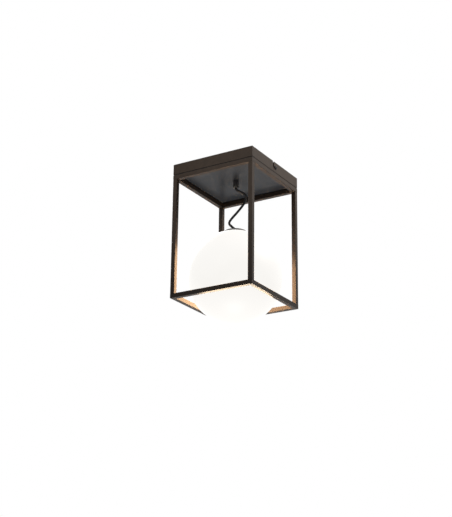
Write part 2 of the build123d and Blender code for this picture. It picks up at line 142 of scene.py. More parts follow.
class PorchLightFinishes(PropertyGroup):
    """Linear colours of the finishes, and how bright paint mirrors the globe."""

    bronze: colour("Bronze paint", "Satin powder coat of canopy and frame", (0.0385, 0.0275, 0.0203))
    bronze_worn: colour("Worn bronze", "Thinner coat along the edges", (0.046, 0.036, 0.030))
    plate: colour("Plate paint", "Paint of the plate under the canopy", (0.038, 0.041, 0.046))
    rubber: colour("Rubber", "Seals and flex", (0.006, 0.006, 0.007))
    plastic: colour("Black plastic", "Cord grip, lid and neck ring", (0.12, 0.12, 0.122))
    opal: colour("Opal", "Unlit colour of the globe", (0.10, 0.099, 0.097))
    glow: colour("Glow", "Colour of the lit globe in glossy paint", (1.0, 0.65, 0.37))
    glow_below: colour("Glow below", "Colour of the globe's bottom in glossy paint", (1.0, 0.82, 0.60))
    core_brown: colour("Brown core", "Insulation of the first core", (0.10, 0.035, 0.014))
    core_blue: colour("Blue core", "Insulation of the second core", (0.03, 0.10, 0.30))
    core_green: colour("Green core", "First tone of the earth core", (0.05, 0.22, 0.05))
    core_yellow: colour("Yellow core", "Second tone of the earth core", (0.66, 0.52, 0.05))
    shine: amount("Shine", "Brightness of the lit globe in glossy paint, 0 for none", 30.0)


class PorchLightStage(PropertyGroup):
    """Camera, floor and studio light."""

    camera_place: FloatVectorProperty(
        name="Camera place", description="Where the camera stands", default=(1.5489, -2.5643, -1.3399),
        size=3, subtype="TRANSLATION", unit="LENGTH",
    )
    camera_yaw: angle("Camera yaw", "Heading from +Y, clockwise from above", -31.597)
    camera_pitch: angle("Camera pitch", "Tilt above the horizon", 20.022)
    camera_roll: angle("Camera roll", "Turn about the line of sight", 0.669)
    lens: amount("Lens", "Focal length in millimetres", 84.792)
    floor_depth: length("Floor depth", "Depth of the floor below the ceiling face", 2.4)
    floor_side: length("Floor side", "Side of the square floor", 40.0)
    floor: colour("Floor", "Pale floor", (0.88, 0.88, 0.88))
    floor_shown: amount("Floor shown", "Light of the floor in the camera, in gloss and through glass", 0.95)
    sky: amount("Sky", "Strength of the light from all round", 0.03)
    key_power: amount("Key power", "Soft box on the right", 1.28, unit="POWER")
    fill_power: amount("Fill power", "Soft box in front", 0.54, unit="POWER")
    back_power: amount("Back power", "Soft box behind", 2.0, unit="POWER")
    low_power: amount("Low power", "Soft box below", 2.7, unit="POWER")
    key_spread: angle("Key spread", "Cone of the soft box on the right", 42)
    fill_spread: angle("Fill spread", "Cone of the soft box in front", 60)
    wide_spread: angle("Wide spread", "Cone of the soft boxes behind and below", 90)
    box_side: length("Box side", "Side of each square soft box", 0.5)
    box_aim: length("Box aim", "Height on the light's axis that the soft boxes face", -0.05)
    warm_box: colour("Warm box", "Colour of the soft boxes on the right and in front", (1.0, 0.93, 0.86))
    cool_box: colour("Cool box", "Colour of the soft boxes behind and below", (0.95, 0.98, 1.0))


def sizes():
    """The size properties."""
    return bpy.context.scene.porch_light_sizes


def finishes():
    """The colour properties."""
    return bpy.context.scene.porch_light_finishes


# Finishes by name, made once before the steps run
finish_of = {}


# Modelling


def select_none():
    """Leave editing, with nothing selected."""
    if bpy.context.mode != "OBJECT":
        bpy.ops.object.mode_set(mode="OBJECT")
    bpy.ops.object.select_all(action="DESELECT")


def select_only(piece):
    """Leave editing, with one piece selected and active."""
    select_none()
    bpy.context.view_layer.objects.active = piece
    piece.select_set(True)


def drop(piece):
    """Remove a piece and its mesh."""
    mesh = piece.data
    bpy.data.objects.remove(piece)
    bpy.data.meshes.remove(mesh)


def begin(add, name, **options):
    """Add a primitive with nothing else selected, settle its place in its mesh and open it for editing."""
    select_none()
    add(**options)
    piece = bpy.context.object
    piece.name = name
    piece.data.name = name
    bpy.ops.object.transform_apply(location=True, rotation=True, scale=True)
    bpy.ops.object.mode_set(mode="EDIT")
    return piece


def block(name, low, high):
    """A cube between two corners, open for editing."""
    low, high = Vector(low), Vector(high)
    return begin(
        bpy.ops.mesh.primitive_cube_add, name, size=1.0, location=(low + high) / 2, scale=high - low
    )


def choose(piece, kind, test):
    """Select the vertices, edges or faces of the open piece that pass a test."""
    bpy.ops.mesh.select_mode(type={"verts": "VERT", "edges": "EDGE", "faces": "FACE"}[kind])
    bpy.ops.mesh.select_all(action="DESELECT")
    shape = bmesh.from_edit_mesh(piece.data)
    chosen = [part for part in getattr(shape, kind) if test(part)]
    if not chosen:
        raise RuntimeError(f"{piece.name}: no {kind} pass the test")
    for part in chosen:
        part.select_set(True)
    shape.select_flush_mode()
    bmesh.update_edit_mesh(piece.data)


def span(edge, axis):
    """How far an edge reaches along X, Y or Z, numbered from 0."""
    first, second = edge.verts
    return abs(first.co[axis] - second.co[axis])


def round_edges(piece, test, width, segments):
    """Bevel the edges that pass a test."""
    choose(piece, "edges", test)
    bpy.ops.mesh.bevel(offset=width, segments=segments, profile=0.5, affect="EDGES")


def spin_outline(name, outline, steps):
    """Draw a half section of (radius, height) points and spin it about the light's axis."""
    piece = begin(bpy.ops.mesh.primitive_plane_add, name, size=0.001)
    bpy.ops.mesh.select_mode(type="VERT")
    bpy.ops.mesh.select_all(action="SELECT")
    bpy.ops.mesh.merge(type="CENTER")
    bpy.ops.transform.translate(value=(outline[0][0], 0, outline[0][1]))
    for (r0, z0), (r1, z1) in zip(outline, outline[1:]):
        bpy.ops.mesh.extrude_vertices_move(TRANSFORM_OT_translate={"value": (r1 - r0, 0, z1 - z0)})
    bpy.ops.mesh.select_all(action="SELECT")
    bpy.ops.mesh.spin(steps=steps, angle=2 * pi, center=(0, 0, 0), axis=(0, 0, 1))
    tidy_mesh()
    return piece


def tidy_mesh():
    """Merge doubles of the open piece and turn its faces outwards."""
    bpy.ops.mesh.select_all(action="SELECT")
    bpy.ops.mesh.remove_doubles(threshold=1e-6)
    bpy.ops.mesh.normals_make_consistent(inside=False)


def cut_away(piece, cutter):
    """Take the cutter's shape out of a piece, and remove the cutter."""
    select_only(piece)
    modifier = piece.modifiers.new("cut", "BOOLEAN")
    modifier.operation = "DIFFERENCE"
    modifier.solver = "EXACT"
    modifier.object = cutter
    bpy.ops.object.modifier_apply(modifier=modifier.name)
    drop(cutter)


def finish_mesh(piece, flat=True):
    """Merge doubles, leave editing and shade by angle."""
    select_only(piece)
    bpy.ops.object.mode_set(mode="EDIT")
    tidy_mesh()
    bpy.ops.object.mode_set(mode="OBJECT")
    bpy.ops.object.shade_smooth_by_angle(angle=radians(50))
    if flat:
        modifier = piece.modifiers.new("flat_faces", "WEIGHTED_NORMAL")
        modifier.keep_sharp = True
        bpy.ops.object.modifier_apply(modifier=modifier.name)


def close_piece(piece, body, slot, node, finish=None, flat=True):
    """Finish the mesh and hand the piece to its body in place of its CAD node."""
    finish_mesh(piece, flat)
    place_piece(piece, body, slot, node, finish)


def place_piece(piece, body, slot, node, finish=None):
    """Give a finished mesh its body, the node that it stands for and a finish, by default its slot's."""
    piece.data.materials.clear()
    piece.data.materials.append(finish_of[finish or slot])
    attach(piece, body)
    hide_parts(node)


def copy_moved(piece, name, move):
    """A copy with its own mesh, carried to its place by a matrix."""
    twin = bpy.data.objects.new(name, piece.data.copy())
    twin.data.name = name
    twin.data.transform(move)
    bpy.context.scene.collection.objects.link(twin)
    return twin


def screw_blank(name, head, head_height, shank, shank_length, crown):
    """A screw on +Z whose head stands on the ground plane; crown is the domed share of its head."""
    wall = head_height * (1 - crown)
    tip = shank / 8
    outline = [
        (0.0, -shank_length),
        (shank / 2 - tip, -shank_length),
        (shank / 2, tip - shank_length),
        (shank / 2, 0.0),
        (head / 2, 0.0),
    ]
    for step in range(7):
        rise = step * pi / 12
        outline.append((head / 2 * cos(rise), wall + (head_height - wall) * sin(rise)))
    return spin_outline(name, outline, 32)


def cut_recess(screw, top, reach, width, depth, arms):
    """Cut a slot, with one arm, or a cross, with two, into a screw's head."""
    for turn in range(arms):
        along, across = ((reach, width / 2), (width / 2, reach))[turn]
        cutter = block(f"{screw.name}_arm", (-along, -across, top - depth), (along, across, top + depth))
        cut_away(screw, cutter)


def place_turned(tube, kind, sides):
    """Put a finished tube on its side of the frame, and turned copies of it on the other three."""
    for turn, side in enumerate(sides):
        piece = tube
        if turn:
            piece = copy_moved(tube, f"{kind}_tube_{side}", Matrix.Rotation(turn * pi / 2, 4, "Z"))
        place_piece(piece, "frame", "bronze_paint", f"{kind}_{side}")


def place_copies(piece, moves, body, slot, node):
    """Put a finished piece at each of its places, one mesh each, and drop the first one."""
    for number, move in enumerate(moves):
        twin = copy_moved(piece, f"{piece.name}_{number + 1}", move)
        place_piece(twin, body, slot, node)
    drop(piece)


# Finishes


def new_finish(name):
    """A material, its node tree and its shader."""
    made = bpy.data.materials.new(name)
    made.use_nodes = True
    return made, made.node_tree, made.node_tree.nodes["Principled BSDF"]


def set_shader(shader, **values):
    """Set shader sockets that are the same all over; an underscore stands for a space."""
    for key, value in values.items():
        shader.inputs[key.replace("_", " ")].default_value = value


def object_noise(tree, scale, detail=2.0, stretch=(1.0, 1.0, 1.0)):
    """Noise on object coordinates: a scale of 1000 has grains of about a millimetre."""
    place = tree.nodes.new("ShaderNodeTexCoord")
    mapping = tree.nodes.new("ShaderNodeMapping")
    mapping.inputs["Scale"].default_value = stretch
    noise = tree.nodes.new("ShaderNodeTexNoise")
    noise.inputs["Scale"].default_value = scale
    noise.inputs["Detail"].default_value = detail
    tree.links.new(place.outputs["Object"], mapping.inputs["Vector"])
    tree.links.new(mapping.outputs["Vector"], noise.inputs["Vector"])
    return noise.outputs["Fac"]


def remap(tree, value, low, high, to_low, to_high):
    """Carry a value from one range to another, held at its ends."""
    made = tree.nodes.new("ShaderNodeMapRange")
    for key, number in (("From Min", low), ("From Max", high), ("To Min", to_low), ("To Max", to_high)):
        made.inputs[key].default_value = number
    tree.links.new(value, made.inputs["Value"])
    return made.outputs["Result"]


def combine(tree, operation, first, second):
    """One step of arithmetic; the second value may be a number."""
    made = tree.nodes.new("ShaderNodeMath")
    made.operation = operation
    tree.links.new(first, made.inputs[0])
    if isinstance(second, (int, float)):
        made.inputs[1].default_value = second
    else:
        tree.links.new(second, made.inputs[1])
    return made.outputs[0]


def two_tones(tree, factor, first, second):
    """A colour between two tones; each tone is a colour or a socket."""
    made = tree.nodes.new("ShaderNodeMix")
    made.data_type = "RGBA"
    tree.links.new(factor, made.inputs[0])
    for tone, socket in ((first, made.inputs[6]), (second, made.inputs[7])):
        if isinstance(tone, bpy.types.NodeSocket):
            tree.links.new(tone, socket)
        else:
            socket.default_value = (*tone, 1.0)
    return made.outputs[2]


def shade(tone, share):
    """A darker or lighter tone of a colour."""
    return tuple(min(1.0, part * share) for part in tone)


def relief(tree, shader, height, depth, strength):
    """Bump of a given depth in metres."""
    made = tree.nodes.new("ShaderNodeBump")
    made.inputs["Distance"].default_value = depth
    made.inputs["Strength"].default_value = strength
    tree.links.new(height, made.inputs["Height"])
    tree.links.new(made.outputs["Normal"], shader.inputs["Normal"])


def shown_rays(tree):
    """1 for rays that show the background: the camera's, those of gloss and those through glass."""
    path = tree.nodes.new("ShaderNodeLightPath")
    shown = combine(tree, "MAXIMUM", path.outputs["Is Camera Ray"], path.outputs["Is Glossy Ray"])
    return combine(tree, "MAXIMUM", shown, path.outputs["Is Transmission Ray"])


def spread_roughness(tree, shader, grain, low, high):
    """Roughness between two values, by a noise."""
    tree.links.new(remap(tree, grain, 0.3, 0.7, low, high), shader.inputs["Roughness"])


def clouded(tree, shader, clouds, tone, low, high):
    """Base colour between a darker and a lighter share of one tone."""
    base = two_tones(tree, clouds, shade(tone, low), shade(tone, high))
    tree.links.new(base, shader.inputs["Base Color"])


def edge_share(tree):
    """1 on rounded edges and 0 on faces that are square to the axes."""
    place = tree.nodes.new("ShaderNodeTexCoord")
    parts = tree.nodes.new("ShaderNodeSeparateXYZ")
    tree.links.new(place.outputs["Normal"], parts.inputs["Vector"])
    squares = [combine(tree, "ABSOLUTE", parts.outputs[axis], 0.0) for axis in "XYZ"]
    largest = combine(tree, "MAXIMUM", combine(tree, "MAXIMUM", squares[0], squares[1]), squares[2])
    return remap(tree, largest, 0.90, 0.99, 1.0, 0.0)


def powder_coat(name, tone, worn, roughness, gloss):
    """Satin powder coat: fine orange peel, soft clouds in the tone and a thinner coat on the edges."""
    made, tree, shader = new_finish(name)
    clouds = remap(tree, object_noise(tree, 60.0, 4.0), 0.3, 0.7, 0.0, 1.0)
    flecks = remap(tree, object_noise(tree, 2600.0, 1.0), 0.45, 0.72, 0.0, 1.0)
    base = two_tones(tree, clouds, shade(tone, 0.88), shade(tone, 1.12))
    base = two_tones(tree, combine(tree, "MULTIPLY", flecks, 0.3), base, shade(tone, 1.4))
    rub = remap(tree, object_noise(tree, 170.0, 3.0), 0.35, 0.75, 0.15, 1.0)
    base = two_tones(tree, combine(tree, "MULTIPLY", edge_share(tree), rub), base, worn)
    tree.links.new(base, shader.inputs["Base Color"])
    peel = object_noise(tree, 1300.0, 2.0)
    spread_roughness(tree, shader, peel, roughness - 0.05, roughness + 0.07)
    relief(tree, shader, peel, 0.000012, 0.5)
    set_shader(shader, Specular_IOR_Level=gloss)
    return made


def moulded_plastic(name, tone, roughness):
    """Moulded plastic with a fine eroded grain."""
    made, tree, shader = new_finish(name)
    grain = object_noise(tree, 2400.0, 2.0)
    clouds = remap(tree, object_noise(tree, 90.0, 3.0), 0.3, 0.7, 0.0, 1.0)
    clouded(tree, shader, clouds, tone, 0.85, 1.15)
    spread_roughness(tree, shader, grain, roughness - 0.06, roughness + 0.08)
    relief(tree, shader, grain, 0.00004, 0.5)
    set_shader(shader, Specular_IOR_Level=0.2)
    return made


def soft_rubber(name, tone):
    """Matt rubber with a dusty grain."""
    made, tree, shader = new_finish(name)
    dust = remap(tree, object_noise(tree, 500.0, 5.0), 0.4, 0.75, 0.0, 1.0)
    tree.links.new(two_tones(tree, dust, tone, shade(tone, 2.2)), shader.inputs["Base Color"])
    tree.links.new(remap(tree, dust, 0.0, 1.0, 0.62, 0.82), shader.inputs["Roughness"])
    relief(tree, shader, object_noise(tree, 1800.0, 2.0), 0.00006, 0.6)
    set_shader(shader, Specular_IOR_Level=0.12)
    return made


def flex_sheath(name, tone):
    """Extruded sheath: faint ridges along its length, on the tube's own UV map."""
    made, tree, shader = new_finish(name)
    place = tree.nodes.new("ShaderNodeTexCoord")
    mapping = tree.nodes.new("ShaderNodeMapping")
    mapping.inputs["Scale"].default_value = (3.0, 36.0, 1.0)
    ridges = tree.nodes.new("ShaderNodeTexNoise")
    ridges.inputs["Scale"].default_value = 1.0
    ridges.inputs["Detail"].default_value = 3.0
    tree.links.new(place.outputs["UV"], mapping.inputs["Vector"])
    tree.links.new(mapping.outputs["Vector"], ridges.inputs["Vector"])
    ridge = ridges.outputs["Fac"]
    clouded(tree, shader, ridge, tone, 0.7, 1.5)
    spread_roughness(tree, shader, ridge, 0.36, 0.52)
    relief(tree, shader, ridge, 0.00006, 0.5)
    set_shader(shader, Specular_IOR_Level=0.18)
    return made


def core_insulation(name, first, second):
    """Smooth core insulation with one lengthwise stripe of a second tone, on the tube's own UV map."""
    made, tree, shader = new_finish(name)
    place = tree.nodes.new("ShaderNodeTexCoord")
    parts = tree.nodes.new("ShaderNodeSeparateXYZ")
    tree.links.new(place.outputs["UV"], parts.inputs["Vector"])
    stripe = remap(tree, parts.outputs["Y"], 0.47, 0.53, 0.0, 1.0)
    base = two_tones(tree, stripe, first, second)
    haze = remap(tree, object_noise(tree, 800.0, 3.0), 0.35, 0.7, 0.0, 0.25)
    tree.links.new(two_tones(tree, haze, base, shade(first, 0.6)), shader.inputs["Base Color"])
    tree.links.new(remap(tree, haze, 0.0, 0.25, 0.30, 0.44), shader.inputs["Roughness"])
    set_shader(shader, Specular_IOR_Level=0.4)
    return made


def plated_metal(name, dark, light, roughness, cell, metal=1.0, gloss=0.5):
    """Plated metal with crystal flecks of a given scale and fine rubbing marks."""
    made, tree, shader = new_finish(name)
    place = tree.nodes.new("ShaderNodeTexCoord")
    cells = tree.nodes.new("ShaderNodeTexVoronoi")
    cells.inputs["Scale"].default_value = cell
    tree.links.new(place.outputs["Object"], cells.inputs["Vector"])
    parts = tree.nodes.new("ShaderNodeSeparateColor")
    tree.links.new(cells.outputs["Color"], parts.inputs["Color"])
    tree.links.new(two_tones(tree, parts.outputs[0], dark, light), shader.inputs["Base Color"])
    marks = object_noise(tree, 700.0, 4.0, (0.15, 1.0, 1.0))
    spread_roughness(tree, shader, marks, roughness - 0.08, roughness + 0.1)
    relief(tree, shader, marks, 0.00002, 0.5)
    set_shader(shader, Metallic=metal, Specular_IOR_Level=gloss)
    return made


def mirror_light(tree, parts, shine):
    """Light that only glossy paint mirrors: most at the back, faint at the cap, pale at the bottom."""
    sideways, reach = 0.3, 0.12
    front_share, back_share, cap_share = 0.4, 1.6, 0.1
    cap_start, cap_end = -0.228, -0.18
    bottom_end, bottom_start = -0.385, -0.365
    mirrored = tree.nodes.new("ShaderNodeLightPath").outputs["Is Glossy Ray"]
    turned = combine(tree, "MULTIPLY", parts.outputs["X"], sideways)
    back = combine(tree, "SUBTRACT", parts.outputs["Y"], turned)
    lean = remap(tree, back, -reach, reach, front_share, back_share)
    cap = remap(tree, parts.outputs["Z"], cap_start, cap_end, 1.0, cap_share)
    bottom = remap(tree, parts.outputs["Z"], bottom_end, bottom_start, 1.0, 0.0)
    tone = two_tones(tree, bottom, tuple(finishes().glow), tuple(finishes().glow_below))
    share = combine(tree, "MULTIPLY", lean, cap)
    return mirrored, tone, combine(tree, "MULTIPLY", combine(tree, "MULTIPLY", mirrored, share), shine)


def lit_opal(name, tone, warm, strength, middle, reach, shine=0.0):
    """Opal shell lit from inside: whitest at the lamp's height and warmer away from it.

    With a shine, glossy paint mirrors it far brighter than the camera sees it. The amount is fitted.
    """
    made, tree, shader = new_finish(name)
    clouds = remap(tree, object_noise(tree, 14.0, 3.0), 0.3, 0.7, 0.0, 1.0)
    clouded(tree, shader, clouds, tone, 0.97, 1.02)
    place = tree.nodes.new("ShaderNodeTexCoord")
    parts = tree.nodes.new("ShaderNodeSeparateXYZ")
    tree.links.new(place.outputs["Object"], parts.inputs["Vector"])
    away = combine(tree, "ABSOLUTE", combine(tree, "SUBTRACT", parts.outputs["Z"], middle), 0.0)
    uneven = combine(tree, "ADD", away, combine(tree, "MULTIPLY", clouds, 0.006))
    light = two_tones(tree, remap(tree, uneven, 0.0, reach, 0.0, 1.0), (1.0, 0.985, 0.955), warm)
    if shine:
        mirrored, glow, extra = mirror_light(tree, parts, shine)
        light = two_tones(tree, mirrored, light, glow)
        tree.links.new(combine(tree, "ADD", extra, strength), shader.inputs["Emission Strength"])
    tree.links.new(light, shader.inputs["Emission Color"])
    spread_roughness(tree, shader, object_noise(tree, 900.0, 2.0), 0.42, 0.52)
    set_shader(shader, Emission_Strength=strength, Specular_IOR_Level=0.15)
    made.cycles.emission_sampling = "NONE"
    return made


def prepare_finishes():
    """Make each finish once, under the record's slot names and those of the three cores."""
    tones = finishes()
    lamp_height = -0.262
    steel = (0.010, 0.010, 0.011), (0.018, 0.018, 0.02)
    finish_of.update(
        bronze_paint=powder_coat("bronze_paint", tuple(tones.bronze), tuple(tones.bronze_worn), 0.38, 0.11),
        plate_paint=powder_coat("plate_paint", tuple(tones.plate), shade(tones.plate, 1.3), 0.32, 0.085),
        black_steel=plated_metal("black_steel", *steel, 0.5, 420.0, metal=0.2, gloss=0.15),
        zinc_steel=plated_metal("zinc_steel", (0.50, 0.51, 0.52), (0.66, 0.67, 0.67), 0.38, 320.0),
        seal_rubber=soft_rubber("seal_rubber", tuple(tones.rubber)),
        flex_rubber=flex_sheath("flex_rubber", tuple(tones.rubber)),
        black_plastic=moulded_plastic("black_plastic", tuple(tones.plastic), 0.40),
        block_plastic=moulded_plastic("block_plastic", (0.72, 0.71, 0.66), 0.42),
        brass=plated_metal("brass", (0.66, 0.46, 0.18), (0.78, 0.58, 0.27), 0.30, 900.0),
        nickel=plated_metal("nickel", (0.58, 0.56, 0.52), (0.70, 0.68, 0.64), 0.24, 900.0),
        opal=lit_opal("opal", tuple(tones.opal), (1.0, 0.975, 0.94), 0.90, lamp_height, 0.17, tones.shine),
        lamp_opal=lit_opal("lamp_opal", (0.8, 0.79, 0.76), (1.0, 0.93, 0.82), 1.0, lamp_height, 0.05),
        lamp_white=moulded_plastic("lamp_white", (0.78, 0.78, 0.77), 0.34),
        core_brown=core_insulation("core_brown", tuple(tones.core_brown), shade(tones.core_brown, 1.1)),
        core_blue=core_insulation("core_blue", tuple(tones.core_blue), shade(tones.core_blue, 1.1)),
        core_earth=core_insulation("core_earth", tuple(tones.core_green), tuple(tones.core_yellow)),
    )


class PORCHLIGHT_OT_stage(Operator):
    """Camera at the photograph's place, pale floor and soft studio light"""

    bl_idname = "porch_light.stage"
    bl_label = "Stage"

    def execute(self, context):
        scene = context.scene
        stage = scene.porch_light_stage
        scene.view_settings.view_transform = "Standard"
        self.place_camera(scene, stage)
        self.lay_floor(stage)
        self.light_studio(scene, stage)
        return {"FINISHED"}

    def place_camera(self, scene, stage):
        select_none()
        bpy.ops.object.camera_add(location=stage.camera_place)
        camera = bpy.context.object
        camera.name = "photo_camera"
        yaw, pitch, roll = stage.camera_yaw, stage.camera_pitch, stage.camera_roll
        ahead = Vector((sin(yaw) * cos(pitch), cos(yaw) * cos(pitch), sin(pitch)))
        right = Vector((cos(yaw), -sin(yaw), 0.0))
        above = right.cross(ahead)
        across = cos(roll) * right + sin(roll) * above
        upward = cos(roll) * above - sin(roll) * right
        turn = Matrix((across, upward, -ahead)).transposed().to_4x4()
        camera.matrix_world = Matrix.Translation(stage.camera_place) @ turn
        camera.data.lens = stage.lens
        camera.data.sensor_width = 36.0
        camera.data.clip_start, camera.data.clip_end = 0.05, 50.0
        scene.camera = camera

    def lay_floor(self, stage):
        place = (0, 0, -stage.floor_depth)
        piece = begin(bpy.ops.mesh.primitive_plane_add, "floor", size=stage.floor_side, location=place)
        bpy.ops.mesh.subdivide(number_cuts=6)
        bpy.ops.object.mode_set(mode="OBJECT")
        made, tree, shader = new_finish("pale_floor")
        tone = tuple(stage.floor)
        clouded(tree, shader, object_noise(tree, 1.5, 3.0), tone, 0.99, 1.01)
        shown = combine(tree, "MULTIPLY", shown_rays(tree), stage.floor_shown)
        tree.links.new(shown, shader.inputs["Emission Strength"])
        set_shader(shader, Roughness=0.9, Specular_IOR_Level=0.1, Emission_Color=(*tone, 1.0))
        made.cycles.emission_sampling = "NONE"
        piece.data.materials.append(made)

    def light_studio(self, scene, stage):
        world = bpy.data.worlds.new("studio")
        scene.world = world
        world.use_nodes = True
        tree = world.node_tree
        tree.nodes.clear()
        strength = remap(tree, shown_rays(tree), 0.0, 1.0, stage.sky, 1.0)
        background = tree.nodes.new("ShaderNodeBackground")
        background.inputs["Color"].default_value = (1.0, 1.0, 1.0, 1.0)
        tree.links.new(strength, background.inputs["Strength"])
        output = tree.nodes.new("ShaderNodeOutputWorld")
        tree.links.new(background.outputs["Background"], output.inputs["Surface"])
        warm, cool, wide = stage.warm_box, stage.cool_box, stage.wide_spread
        for name, place, power, spread, tone in (
            ("key", (0.60, 0.28, 0.50), stage.key_power, stage.key_spread, warm),
            ("fill", (0.0, -0.60, 0.12), stage.fill_power, stage.fill_spread, warm),
            ("back", (-0.60, 0.50, 0.25), stage.back_power, wide, cool),
            ("low", (0.0, 0.0, -1.5), stage.low_power, wide, cool),
        ):
            select_none()
            bpy.ops.object.light_add(type="AREA", location=place)
            lamp = bpy.context.object
            lamp.name = name
            lamp.data.shape = "SQUARE"
            lamp.data.size = stage.box_side
            lamp.data.spread = spread
            lamp.data.energy = power
            lamp.data.color = tone
            lamp.visible_camera = False
            aim = Vector((0.0, 0.0, stage.box_aim)) - Vector(place)
            lamp.rotation_euler = aim.to_track_quat("-Z", "Y").to_euler()


# Route of the free flex between grip and lid, as in the part's source: across, away and height
flex_heading = radians(31.7)
flex_route = [
    (0.0000, 0.0000, -0.0508),
    (0.0026, 0.0002, -0.0540),
    (0.0215, 0.0022, -0.0620),
    (0.0264, 0.0034, -0.0682),
    (0.0264, 0.0050, -0.0835),
    (0.0165, 0.0050, -0.0994),
    (0.0015, 0.0022, -0.1204),
    (-0.0115, -0.0016, -0.1374),
    (-0.0192, -0.0040, -0.1512),
    (-0.0086, -0.0018, -0.1606),
    (0.0000, 0.0000, -0.1674),
]


def round_lead(name, points, diameter):
    """A round lead along one NURBS line: its mesh tube and the points read from that line."""
    route = bpy.data.curves.new(name, "CURVE")
    route.dimensions = "3D"
    line = route.splines.new("NURBS")
    line.points.add(len(points) - 1)
    for knot, point in zip(line.points, points):
        knot.co = (*point, 1.0)
    line.order_u = 3
    line.use_endpoint_u = True
    line.resolution_u = 8
    lead = bpy.data.objects.new(name, route)
    bpy.context.scene.collection.objects.link(lead)
    bpy.context.view_layer.update()
    drawn = bpy.data.meshes.new_from_object(lead)
    path = [tuple(point.co) for point in drawn.vertices]
    bpy.data.meshes.remove(drawn)
    route.bevel_depth = diameter / 2
    route.bevel_resolution = 5
    route.use_fill_caps = True
    select_only(lead)
    bpy.ops.object.convert(target="MESH")
    bpy.ops.object.mode_set(mode="EDIT")
    tidy_mesh()
    bpy.ops.object.mode_set(mode="OBJECT")
    lead.data.name = name
    return lead, path


class PORCHLIGHT_OT_flex(Operator):
    """Free flex from the cord grip to the globe's lid"""

    bl_idname = "porch_light.flex"
    bl_label = "Flex"

    def execute(self, context):
        exit_height = grip_low.z
        entry_height = grommet_high.z
        points = [(0.0, 0.0, exit_height)]
        for across, away, height in flex_route:
            along_x = across * cos(flex_heading) - away * sin(flex_heading)
            along_y = across * sin(flex_heading) + away * cos(flex_heading)
            points.append((along_x, along_y, height))
        points.append((0.0, 0.0, entry_height))
        flex, path = round_lead("free_flex", points, sizes().flex_diameter)
        close_piece(flex, "frame", "flex_rubber", "flex", flat=False)
        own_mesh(flex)
        return {"FINISHED"}


class PORCHLIGHT_OT_wiring(Operator):
    """Flex inside the grip and the canopy, with its three cores led into the terminal block"""

    bl_idname = "porch_light.wiring"
    bl_label = "Wiring"

    def execute(self, context):
        size = sizes()
        base = plate_high.z
        tail_height = base + 0.0098
        tail_points = [
            (0.0, 0.0, grip_low.z),
            (0.0, 0.0, base + 0.0035),
            (0.0, 0.0, base + 0.0125),
            (0.0, 0.0090, tail_height),
            (0.0, 0.0165, tail_height),
        ]
        tail = round_lead("flex_tail_sheath", tail_points, size.flex_diameter)[0]
        close_piece(tail, "frame", "flex_rubber", "flex_tail", flat=False)
        way = block_high.z - (block_high.z - block_low.z) * 2 / 3
        pitch = (block_high.x - block_low.x) / 3
        for side, name in ((-1, "core_brown"), (0, "core_earth"), (1, "core_blue")):
            core_points = [
                (0.0014 * side, 0.0150, tail_height),
                (0.0022 * side, 0.0190, base + 0.0100),
                (pitch * side * 0.9, 0.0215, base + 0.0065),
                (pitch * side, 0.0250, way),
                (pitch * side, block_low.y + 0.0025, way),
            ]
            core = round_lead(name, core_points, size.core_diameter)[0]
            close_piece(core, "frame", "flex_rubber", "flex_tail", finish=name, flat=False)
        end_points = [
            (0.0, 0.0, grommet_high.z),
            (0.0, 0.0, grommet_low.z),
            (0.0, 0.0, grommet_low.z - 0.004),
        ]
        end = round_lead("flex_end_sheath", end_points, size.flex_diameter)[0]
        close_piece(end, "lid", "flex_rubber", "flex_lower_end", flat=False)
        return {"FINISHED"}


class PORCHLIGHT_OT_grip(Operator):
    """Cord grip under the plate, its hexagon nut and the slotted screw that pinches the flex"""

    bl_idname = "porch_light.grip"
    bl_label = "Cord grip"

    def execute(self, context):
        size = sizes()
        outer = grip_high.x
        clearance, thread_clearance = 0.0001, 0.00005
        bore = size.flex_diameter / 2 + clearance
        stem = size.grip_stem / 2
        edge = size.grip_edge
        line = size.joint_line
        bottom, shoulder, top = grip_low.z, plate_low.z, grip_high.z
        outline = [
            (bore, bottom + edge),
            (bore + edge, bottom),
            (outer - edge, bottom),
            (outer, bottom + edge),
            (outer, shoulder - line),
            (outer - line, shoulder),
            (stem, shoulder),
            (stem, top - edge),
            (stem - edge, top),
            (bore, top),
            (bore, bottom + edge),
        ]
        grip = spin_outline("strain_grip", outline, 72)
        close_piece(grip, "frame", "black_plastic", "cord_grip")
        self.hexagon_nut(stem + thread_clearance)
        head_height = grip_screw_high.y - outer
        head = 2 * grip_screw_high.x
        screw = screw_blank("grip_pinch_screw", head, head_height, 0.004, outer - bore, crown=0.35)
        reach, depth = grip_screw_high.x * 1.2, head_height * 0.45
        cut_recess(screw, head_height, reach, width=0.0009, depth=depth, arms=1)
        finish_mesh(screw)
        place = Vector((0.0, outer, (grip_screw_low.z + grip_screw_high.z) / 2))
        turn = Matrix.Rotation(-pi / 2, 4, "X")
        place_copies(screw, [Matrix.Translation(place) @ turn], "frame", "black_plastic", "grip_screw")
        return {"FINISHED"}

    def hexagon_nut(self, bore):
        low, high = nut_low.z, nut_high.z
        middle = (0.0, 0.0, (low + high) / 2)
        pointed = nut_high.x > nut_high.y
        nut = begin(
            bpy.ops.mesh.primitive_cylinder_add, "hexagon_nut",
            vertices=6, radius=max(nut_high.x, nut_high.y), depth=high - low, location=middle,
            rotation=(0.0, 0.0, pi / 6 if pointed else 0.0),
        )
        round_edges(nut, lambda edge: span(edge, 2) < touch, width=0.0005, segments=2)
        cutter = begin(
            bpy.ops.mesh.primitive_cylinder_add, "nut_bore",
            vertices=48, radius=bore, depth=3 * (high - low), location=middle,
        )
        cut_away(nut, cutter)
        close_piece(nut, "frame", "black_plastic", "grip_nut")


